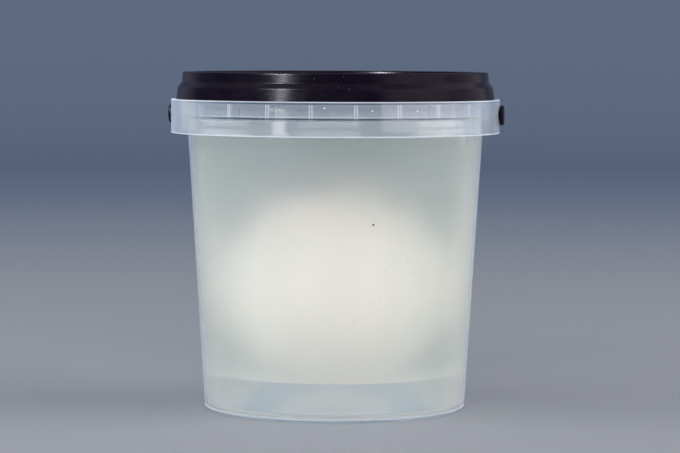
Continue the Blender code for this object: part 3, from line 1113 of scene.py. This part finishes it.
@dataclass
class Lid:
    """The black press-on lid: sunk panel, stacking tier, ledge and skirt with its hook."""

    finish: BlackMoulding
    top_z: float = 128.6 * MM
    tier_r: float = 58.4 * MM
    tier_wall: float = 1.2 * MM
    ledge_top_z: float = 124.9 * MM
    ledge_foot_z: float = 122.8 * MM
    ledge_r: float = 60.2 * MM
    skirt_r: float = 61.0 * MM
    skirt_inner_r: float = 59.3 * MM
    foot_z: float = 117.2 * MM
    panel_z: float = 124.8 * MM
    panel_r: float = 53.4 * MM
    panel_thick: float = 1.0 * MM
    panel_dip: float = 0.3 * MM
    dip_share: float = 0.86
    dip_run: float = 0.7 * MM
    rise_run: float = 0.9 * MM
    draft: float = 0.2 * MM
    hook_r: float = 57.9 * MM
    hook_lead: float = 0.5 * MM
    hook_tip: float = 0.6 * MM
    hook_back: float = 1.4 * MM
    plug_r: float = 55.6 * MM
    plug_wall: float = 0.9 * MM
    plug_run: float = 0.6 * MM
    plug_foot_z: float = 117.8 * MM
    rim_top_z: float = 122.0 * MM
    rim_gap: float = 0.35 * MM

    def outline(self) -> list:
        """Draw the half section, from the panel's middle out over the tiers and back along the underside.

        Returns:
            Points (r, z) as vectors.
        """
        roof = self.rim_top_z + self.rim_gap
        under = self.panel_z - self.panel_thick
        groove_roof = self.top_z - self.panel_thick
        dip_r = self.dip_share * self.panel_r
        return profile([
            (0.0, self.panel_z - self.panel_dip, 0),
            (dip_r, self.panel_z - self.panel_dip, 0.3 * MM),
            (dip_r + self.dip_run, self.panel_z, 0.3 * MM),
            (self.panel_r, self.panel_z, 0.8 * MM),
            (self.panel_r + self.rise_run, self.top_z, 0.8 * MM),
            (self.tier_r, self.top_z, 0.7 * MM),
            (self.tier_r + self.draft, self.ledge_top_z, 0.35 * MM),
            (self.ledge_r, self.ledge_foot_z, 0.6 * MM),
            (self.skirt_r, self.foot_z, 0.4 * MM),
            (self.hook_r + self.hook_lead, self.foot_z, 0.2 * MM),
            (self.hook_r, self.foot_z + self.hook_tip, 0.2 * MM),
            (self.skirt_inner_r, self.foot_z + self.hook_back, 0.2 * MM),
            (self.skirt_inner_r - self.draft, roof, 0.4 * MM),
            (self.tier_r - self.tier_wall, roof, 0),
            (self.tier_r - self.tier_wall, groove_roof, 0.3 * MM),
            (self.plug_r - self.draft, groove_roof, 0.3 * MM),
            (self.plug_r, roof, 0),
            (self.plug_r, self.plug_foot_z, 0.3 * MM),
            (self.plug_r - self.plug_wall, self.plug_foot_z, 0.3 * MM),
            (self.panel_r - self.plug_run, under, 0.3 * MM),
            (0.0, under, 0),
        ])

    def build(self) -> bpy.types.Object:
        """Build the lid as one piece.

        Returns:
            The lid.
        """
        piece = add_piece("lid_moulding", lathe("lid_moulding", self.outline()), self.finish.material())
        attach(piece, "pail")
        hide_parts("lid")
        return piece


# ---------------- the handle


@dataclass
class SwingHandle:
    """The black strap handle with its grip, bevelled end discs and pins."""

    finish: BlackMoulding
    inner_r: float = 63.35 * MM
    strap_thick: float = 1.2 * MM
    strap_width: float = 7.0 * MM
    grip_thick: float = 1.3 * MM
    grip_width: float = 11.0 * MM
    grip_half_deg: float = 34.0
    blend_deg: float = 9.0
    sections: int = 121
    edge_r: float = 0.45 * MM
    edge_steps: int = 3
    disc_r: float = 3.8 * MM
    disc_bevel: float = 0.35 * MM
    disc_inner_x: float = 63.15 * MM
    pin_r: float = 2.0 * MM
    pin_bevel: float = 0.3 * MM
    pin_end_x: float = 59.4 * MM
    pivot_z: float = 112.4 * MM
    droop_deg: float = 3.0

    def section(self, half: float, outer: float) -> list:
        """Draw the strap's section with rounded edges.

        Args:
            half: half of its width.
            outer: its outer radius.

        Returns:
            Points (r, z) round it.
        """
        corners = [(self.inner_r, -half), (outer, -half), (outer, half), (self.inner_r, half)]
        points = []
        for k, (r, z) in enumerate(corners):
            inward = Vector((1 if r == self.inner_r else -1, 1 if z < 0 else -1))
            centre = Vector((r, z)) + inward * self.edge_r
            for step in range(self.edge_steps + 1):
                angle = math.radians(180 + 90 * k + 90 * step / self.edge_steps)
                points.append(centre + Vector((math.cos(angle), math.sin(angle))) * self.edge_r)
        return points

    def strap(self) -> bpy.types.Mesh:
        """Shape half a hoop of strap round +Y, in its own plane.

        Returns:
            The strap, wider and thicker at its grip.
        """
        bm = bmesh.new()
        rings = []
        for k in range(self.sections):
            angle = 180.0 * k / (self.sections - 1)
            share = max(0.0, min(1.0, 0.5 + (self.grip_half_deg - abs(angle - 90)) / self.blend_deg / 2))
            share = share * share * (3 - 2 * share)
            half = (self.strap_width + (self.grip_width - self.strap_width) * share) / 2
            outer = self.inner_r + self.strap_thick + (self.grip_thick - self.strap_thick) * share
            out = Vector((math.cos(math.radians(angle)), math.sin(math.radians(angle)), 0.0))
            rings.append([bm.verts.new(out * p.x + Vector((0, 0, p.y))) for p in self.section(half, outer)])
        bridge(bm, rings, capped=True)
        return close_mesh(bm, "strap")

    def ends(self) -> bpy.types.Mesh:
        """Turn the end discs and the pins.

        Returns:
            Both sides in one mesh.
        """
        outer_x = self.inner_r + self.strap_thick
        return bars_along_x("handle_ends", [
            (self.pin_r - self.pin_bevel, self.pin_end_x),
            (self.pin_r, self.pin_end_x + self.pin_bevel),
            (self.pin_r, self.disc_inner_x),
            (self.disc_r - self.disc_bevel, self.disc_inner_x),
            (self.disc_r, self.disc_inner_x + self.disc_bevel),
            (self.disc_r, outer_x - self.disc_bevel),
            (self.disc_r - self.disc_bevel, outer_x),
        ], 0.0)

    def build(self) -> bpy.types.Object:
        """Build the handle as one piece, laid back at rest.

        Returns:
            The handle.
        """
        mesh = merged(self.strap(), [(Step.JOIN, self.ends())], "handle_moulding")
        droop = Matrix.Rotation(-math.radians(self.droop_deg), 4, "X")
        mesh.transform(Matrix.Translation((0, 0, self.pivot_z)) @ droop)
        piece = add_piece("handle_moulding", mesh, self.finish.material())
        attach(piece, "handle")
        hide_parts("handle")
        return piece


# ---------------- brine and cheese


@dataclass
class Brine:
    """The brine up to its level, reaching just into the wall so that no air gap shows."""

    finish: MilkyBrine
    pail: Pail
    level_z: float = 111.9 * MM
    bite: float = 0.25 * MM

    def outline(self) -> list:
        """Draw the half section, from the level's middle down the wall and over the raised floor.

        Returns:
            Points (r, z) as vectors.
        """
        pail = self.pail
        return profile([
            (0.0, self.level_z, 0),
            (pail.wall_r(self.level_z) - pail.wall + self.bite, self.level_z, 0),
            (pail.wall_r(pail.floor_z) - pail.wall + self.bite, pail.floor_z - self.bite, 1.5 * MM),
            (pail.rise_foot_r, pail.floor_z - self.bite, 1.0 * MM),
            (pail.rise_top_r, pail.rise_top_z - self.bite, 1.0 * MM),
            (0.0, pail.rise_top_z - self.bite, 0),
        ])

    def build(self) -> bpy.types.Object:
        """Build the brine as one piece.

        Returns:
            The brine.
        """
        piece = add_piece("milky_brine", lathe("milky_brine", self.outline()), self.finish.material())
        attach(piece, "pail")
        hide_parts("brine")
        return piece


@dataclass
class Burrata:
    """The ball, gathered in pleats under a small leaning knot."""

    finish: CheeseSkin
    foot_z: float = 12.5 * MM
    ball_r: float = 35.0 * MM
    body_top_z: float = 83.5 * MM
    flat_r: float = 9.0 * MM
    neck_deg: float = 14.0
    neck_height: float = 0.6 * MM
    knot_r: float = 8.0 * MM
    knot_half_height: float = 3.6 * MM
    knot_start_deg: float = 128.0
    knot_pleat: float = 0.6
    knot_lean: tuple = (3.0 * MM, 2.0 * MM)
    lean_depth: float = 12.0 * MM
    lean_limit: float = 1.3
    pleats: int = 9
    pleat_depth: float = 0.055
    pleat_decay: float = 0.42
    pleat_skew: float = 0.7
    lumps: tuple = ((0.010, 2, 0.6), (0.007, 3, 2.1))
    crease_depth: float = 0.14 * MM
    creases_per_m: float = 160
    inset: float = 0.12 * MM
    around: int = 216
    body_rings: int = 110
    knot_rings: int = 30

    def stations(self) -> list:
        """Lay out the skin's rings, from the top of the knot to the foot.

        Returns:
            (radius, height, share of pleat) of each.
        """
        centre_z = (self.body_top_z + self.foot_z) / 2
        half_height = (self.body_top_z - self.foot_z) / 2
        neck = math.radians(self.neck_deg)
        start = math.radians(self.knot_start_deg)
        neck_z = centre_z + half_height * math.cos(neck)
        knot_z = neck_z - self.knot_half_height * math.cos(start) + self.neck_height
        rows = []
        for k in range(1, self.knot_rings + 1):
            t = start * k / self.knot_rings
            height = knot_z + self.knot_half_height * math.cos(t)
            rows.append((self.knot_r * math.sin(t), height, self.knot_pleat * math.sin(t)))
        flat = math.pi - math.asin(self.flat_r / self.ball_r)
        for k in range(self.body_rings + 1):
            t = neck + (flat - neck) * k / self.body_rings
            settled = math.cos(t) if t < math.pi / 2 else math.cos(t) / abs(math.cos(flat))
            pleat = math.exp(-(t - neck) / self.pleat_decay)
            rows.append((self.ball_r * math.sin(t), centre_z + half_height * settled, pleat))
        return rows

    def place(self, radius: float, height: float, pleat: float, angle: float) -> Vector:
        """Find one point of the skin, with its pleats, lumps and lean.

        Args:
            radius: the ring's radius.
            height: the ring's height.
            pleat: how deep its pleats are, from 0 to 1.
            angle: the point's angle on the ring.

        Returns:
            The point.
        """
        wave = math.cos(self.pleats * angle + self.pleat_skew * math.sin(angle))
        fold = 1 - self.pleat_depth * pleat * (1 + wave)
        lump = sum((depth * math.sin(waves * angle + shift) for depth, waves, shift in self.lumps), 1)
        lean = max(0.0, height - (self.body_top_z - self.lean_depth)) / self.lean_depth
        offset = Vector(self.knot_lean) * min(lean, self.lean_limit) ** 2
        point = Vector((
            radius * fold * lump * math.cos(angle) + offset.x,
            radius * fold * lump * math.sin(angle) + offset.y,
            height,
        ))
        crease = noise.noise(point * self.creases_per_m) * self.crease_depth
        outward = Vector((point.x - offset.x, point.y - offset.y, 0)).normalized()
        return point - outward * (self.inset + crease)

    def build(self) -> bpy.types.Object:
        """Build the cheese as one closed skin.

        Returns:
            The ball.
        """
        bm = bmesh.new()
        angles = [2 * math.pi * k / self.around for k in range(self.around)]
        rings = [[bm.verts.new(self.place(*row, angle)) for angle in angles] for row in self.stations()]
        bridge(bm, rings[::-1])
        for ring in (rings[0], rings[-1]):
            pole = bm.verts.new(sum((v.co for v in ring), Vector()) / len(ring))
            for k in range(self.around):
                bm.faces.new((pole, ring[k], ring[(k + 1) % self.around]))
        piece = add_piece("burrata_ball", close_mesh(bm, "burrata_ball", SOFT_DEG), self.finish.material())
        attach(piece, "pail")
        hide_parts("burrata")
        return piece


# ---------------- drops and flecks on the wall


@dataclass
class WallMarks:
    """Small drops, painted glints, light specks that are painted glints, and dark flecks on the pail.

    Each is (x, y, radius): pixels of the photograph, and millimetres.
    """

    pail: Pail
    camera: PhotoCamera
    around: int = 16
    rings: int = 10
    sunk: float = 0.05 * MM
    # light specks on the collar, painted as glints of tiny drops
    specks: tuple = (
        (324.4, 108.3, 0.30), (372.5, 111.2, 0.26), (417.5, 111.2, 0.25), (354.2, 124.5, 0.22),
        (453.3, 117.0, 0.20), (484.2, 104.7, 0.22), (477.5, 104.7, 0.20), (231.2, 122.2, 0.20),
    )
    drops: tuple = (
        (421.5, 215.8, 0.45), (416.3, 217.7, 0.35), (393.0, 205.0, 0.30), (299.0, 202.0, 0.30),
        (305.5, 181.8, 0.35), (312.0, 175.0, 0.30), (347.0, 172.6, 0.35), (357.6, 178.6, 0.30),
    )
    # painted glints beside the drops
    glints: tuple = (
        (421.0, 215.2, 0.20), (416.0, 217.2, 0.16), (392.8, 204.6, 0.14), (298.8, 201.6, 0.13),
        (305.2, 181.4, 0.13), (346.6, 172.2, 0.15), (357.2, 178.2, 0.13),
    )
    flecks: tuple = (
        (373.4, 225.0, 0.42), (407.5, 261.0, 0.18), (385.0, 271.0, 0.16), (413.0, 275.0, 0.18),
        (380.0, 301.0, 0.16), (403.0, 301.5, 0.18), (354.0, 320.5, 0.16), (408.6, 231.0, 0.16),
        (350.0, 329.0, 0.14),
    )

    def spot(self, x_px: float, y_px: float, cone: tuple) -> tuple:
        """Find where a pixel's ray first meets a cone round the pail's axis.

        Args:
            x_px: pixels from the left edge of the photograph.
            y_px: pixels from its top edge.
            cone: its radius at height 0, and the radius that it gains over its height.

        Returns:
            The point on the outside and the outward normal there.
        """
        start, way = self.camera.ray(x_px, y_px)
        foot_r, slope = cone
        r0 = foot_r + slope * start.z
        a = way.x ** 2 + way.y ** 2 - (slope * way.z) ** 2
        b = 2 * (start.x * way.x + start.y * way.y - slope * way.z * r0)
        c = start.x ** 2 + start.y ** 2 - r0 ** 2
        near = (-b - math.sqrt(max(0.0, b * b - 4 * a * c))) / (2 * a)
        point = start + way * near
        return point, Vector((point.x, point.y, -slope * point.xy.length)).normalized()

    def domes(self, name: str, marks: tuple, height: float, finish: ClearDrop | Grain,
              cone: tuple) -> bpy.types.Object:
        """Set low round domes on the pail.

        Args:
            name: the piece's name.
            marks: the (x, y, radius) of each.
            height: a dome's height as a share of its radius.
            finish: what they are made of.
            cone: the surface that carries them.

        Returns:
            The domes in one piece.
        """
        bm = bmesh.new()
        for x_px, y_px, radius in marks:
            point, normal = self.spot(x_px, y_px, cone)
            turn = normal.to_track_quat("Z", "Y").to_matrix().to_4x4()
            size = Matrix.Diagonal((radius * MM, radius * MM, radius * MM * height, 1.0))
            place = Matrix.Translation(point - normal * self.sunk) @ turn @ size
            bmesh.ops.create_uvsphere(
                bm, u_segments=self.around, v_segments=self.rings, radius=1.0, matrix=place)
        piece = add_piece(name, close_mesh(bm, name, SOFT_DEG), finish.material())
        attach(piece, "pail")
        return piece

    def build(self) -> list:
        """Set all drops, painted glints, flecks and specks painted as glints.

        Returns:
            One piece for each kind.
        """
        wall = (self.pail.base_r, self.pail.slope())
        collar = (self.pail.collar_r, 0.0)
        return [
            self.domes("wall_drops", self.drops, 0.6, ClearDrop(), wall),
            self.domes("wall_glints", self.glints, 0.5, PAINTED_GLINT, wall),
            self.domes("wall_flecks", self.flecks, 0.3, DARK_FLECK, wall),
            self.domes("collar_glints", self.specks, 0.5, PAINTED_GLINT, collar),
        ]


# ---------------- the studio


class Role(Enum):
    """What a lamp does."""

    FILL = "lights all pieces and shows in no gloss"
    BLACK_CARD = "shows in the gloss of lid and handle only"
    PAIL_CARD = "shows in the gloss of the pail only"


class Tone(Enum):
    """A lamp's colour."""

    WARM = (1.0, 0.97, 0.93)
    WARMER = (1.0, 0.93, 0.86)
    AMBER = (1.0, 0.90, 0.55)
    COOL = (0.88, 0.89, 1.0)
    PINK = (1.0, 0.82, 0.88)
    LILAC = (1.0, 0.82, 0.95)
    ROSE = (1.0, 0.95, 0.97)


@dataclass(frozen=True)
class Lamp:
    """An upright soft panel that faces the pail.

    Its bearing is in degrees left of the camera as it looks at the pail, its distance is level and from
    the pail's axis, its height is that of its middle, and its size is its width and height.
    """

    name: str
    role: Role
    tone: Tone
    watts: float
    left_deg: float
    away: float
    height: float
    size: tuple


LAMPS = (
    Lamp("key", Role.FILL, Tone.WARM, 2.4, 39.0, 0.95, 0.42, (0.16, 0.80)),
    Lamp("key_high_card", Role.BLACK_CARD, Tone.COOL, 7.4, 38.5, 0.95, 0.42, (0.08, 0.54)),
    Lamp("key_low_card", Role.PAIL_CARD, Tone.WARM, 0.10, 37.0, 0.95, 0.07, (0.14, 0.16)),
    Lamp("key_top_card", Role.BLACK_CARD, Tone.COOL, 12.0, 46.0, 0.55, 0.54, (0.10, 0.24)),
    Lamp("front_fill", Role.FILL, Tone.WARM, 18.0, 4.0, 1.9, 0.8, (1.6, 1.4)),
    Lamp("left_fill", Role.FILL, Tone.WARM, 24.0, 84.0, 1.9, 0.8, (1.6, 1.4)),
    Lamp("right_fill", Role.FILL, Tone.WARMER, 33.0, -80.0, 1.9, 0.8, (1.6, 1.4)),
    Lamp("right_card", Role.BLACK_CARD, Tone.PINK, 6.0, -62.0, 1.0, 0.55, (1.1, 1.1)),
    Lamp("right_back_card", Role.BLACK_CARD, Tone.PINK, 2.0, -114.0, 1.0, 0.55, (0.9, 1.1)),
    Lamp("left_back_card", Role.BLACK_CARD, Tone.LILAC, 0.26, 134.0, 1.1, 0.35, (0.5, 0.7)),
    Lamp("right_pail_card", Role.PAIL_CARD, Tone.ROSE, 6.7, -60.0, 1.0, 0.30, (1.15, 0.9)),
    Lamp("right_back_pail_card", Role.PAIL_CARD, Tone.ROSE, 2.2, -103.0, 1.0, 0.30, (0.60, 0.9)),
    Lamp("left_pail_card", Role.PAIL_CARD, Tone.AMBER, 0.26, 121.0, 1.0, 0.14, (0.40, 0.20)),
)


@dataclass
class Studio:
    """A round pale cove, soft lamps round it, cards that only show in gloss, and a soft sky."""

    camera: PhotoCamera
    black: list
    pail: list
    cove_r: float = 3.0
    cove_turn: float = 0.9
    cove_height: float = 2.6
    cove_steps: int = 16
    cove_segments: int = 96
    aim_z: float = 0.07
    sky: tuple = (0.86, 0.91, 1.0)
    sky_strength: float = 0.50

    def bearing(self, left_deg: float) -> Vector:
        """A level direction from the pail, in degrees left of the camera as it looks at the pail."""
        angle = math.radians(-90 + self.camera.turn_deg - left_deg)
        return Vector((math.cos(angle), math.sin(angle), 0.0))

    def hang(self, lamp: Lamp) -> None:
        """Hang one lamp.

        Args:
            lamp: what it is and where it hangs.
        """
        data = bpy.data.lights.new(lamp.name, "AREA")
        data.shape = "RECTANGLE"
        data.size, data.size_y = lamp.size
        data.energy = lamp.watts
        data.color = lamp.tone.value
        hung = put(lamp.name, data)
        hung.visible_camera = False
        hung.visible_glossy = lamp.role is not Role.FILL
        hung.visible_diffuse = hung.visible_transmission = lamp.role is Role.FILL
        if lamp.role is not Role.FILL:
            group = bpy.data.collections.new(lamp.name + "_onto")
            for piece in self.black if lamp.role is Role.BLACK_CARD else self.pail:
                group.objects.link(piece)
            hung.light_linking.receiver_collection = group
        spot = self.bearing(lamp.left_deg) * lamp.away + Vector((0, 0, lamp.height))
        aim = Vector((0, 0, self.aim_z)) - spot
        hung.matrix_world = Matrix.Translation(spot) @ aim.to_track_quat("-Z", "Y").to_matrix().to_4x4()

    def cove(self) -> None:
        """Turn the floor up into a wall all round."""
        flat = self.cove_r - self.cove_turn
        points = [Vector((0.0, 0.0)), Vector((flat, 0.0))]
        for k in range(1, self.cove_steps + 1):
            angle = math.pi / 2 * k / self.cove_steps
            points.append(Vector((flat + self.cove_turn * math.sin(angle),
                                  self.cove_turn * (1 - math.cos(angle)))))
        points.append(Vector((self.cove_r, self.cove_height)))
        mesh = lathe("floor_cove", points, self.cove_segments)
        floor = add_piece("floor_cove", mesh, StudioPaint().material())

    def build(self) -> None:
        """Set up floor, lamps, sky and how light is followed."""
        self.cove()
        for lamp in LAMPS:
            self.hang(lamp)
        world = bpy.data.worlds.new("soft_sky")
        world.use_nodes = True
        sky = world.node_tree.nodes["Background"]
        sky.inputs["Color"].default_value = (*self.sky, 1.0)
        sky.inputs["Strength"].default_value = self.sky_strength
        scene = bpy.context.scene
        scene.world = world
        scene.view_settings.view_transform = "Standard"
        scene.cycles.use_denoising = True
        scene.cycles.denoising_input_passes = "RGB_ALBEDO"
        scene.cycles.max_bounces = 24
        scene.cycles.transmission_bounces = 20
        scene.cycles.transparent_max_bounces = 24
        scene.cycles.diffuse_bounces = 5
        scene.cycles.glossy_bounces = 5


# ---------------- the whole


def main() -> None:
    """Build every piece in order and report each."""
    logging.basicConfig(level=logging.INFO, format="%(message)s")
    camera = PhotoCamera()
    camera.build()
    pail = Pail(FrostedWall())
    lid = Lid(BlackMoulding("black_lid_plastic", Gloss.POLISHED))
    handle = SwingHandle(BlackMoulding("black_handle_plastic", Gloss.SATIN))
    brine = Brine(MilkyBrine(), pail)
    ball = Burrata(CheeseSkin())
    pieces = [part.build() for part in (pail, lid, handle, brine, ball)]
    pieces += WallMarks(pail, camera).build()
    for piece in pieces:
        LOG.info("%s: %d faces", piece.name, len(piece.data.polygons))
    Studio(camera, black=pieces[1:3], pail=pieces[:1]).build()


if __name__ == "__main__":
    main()
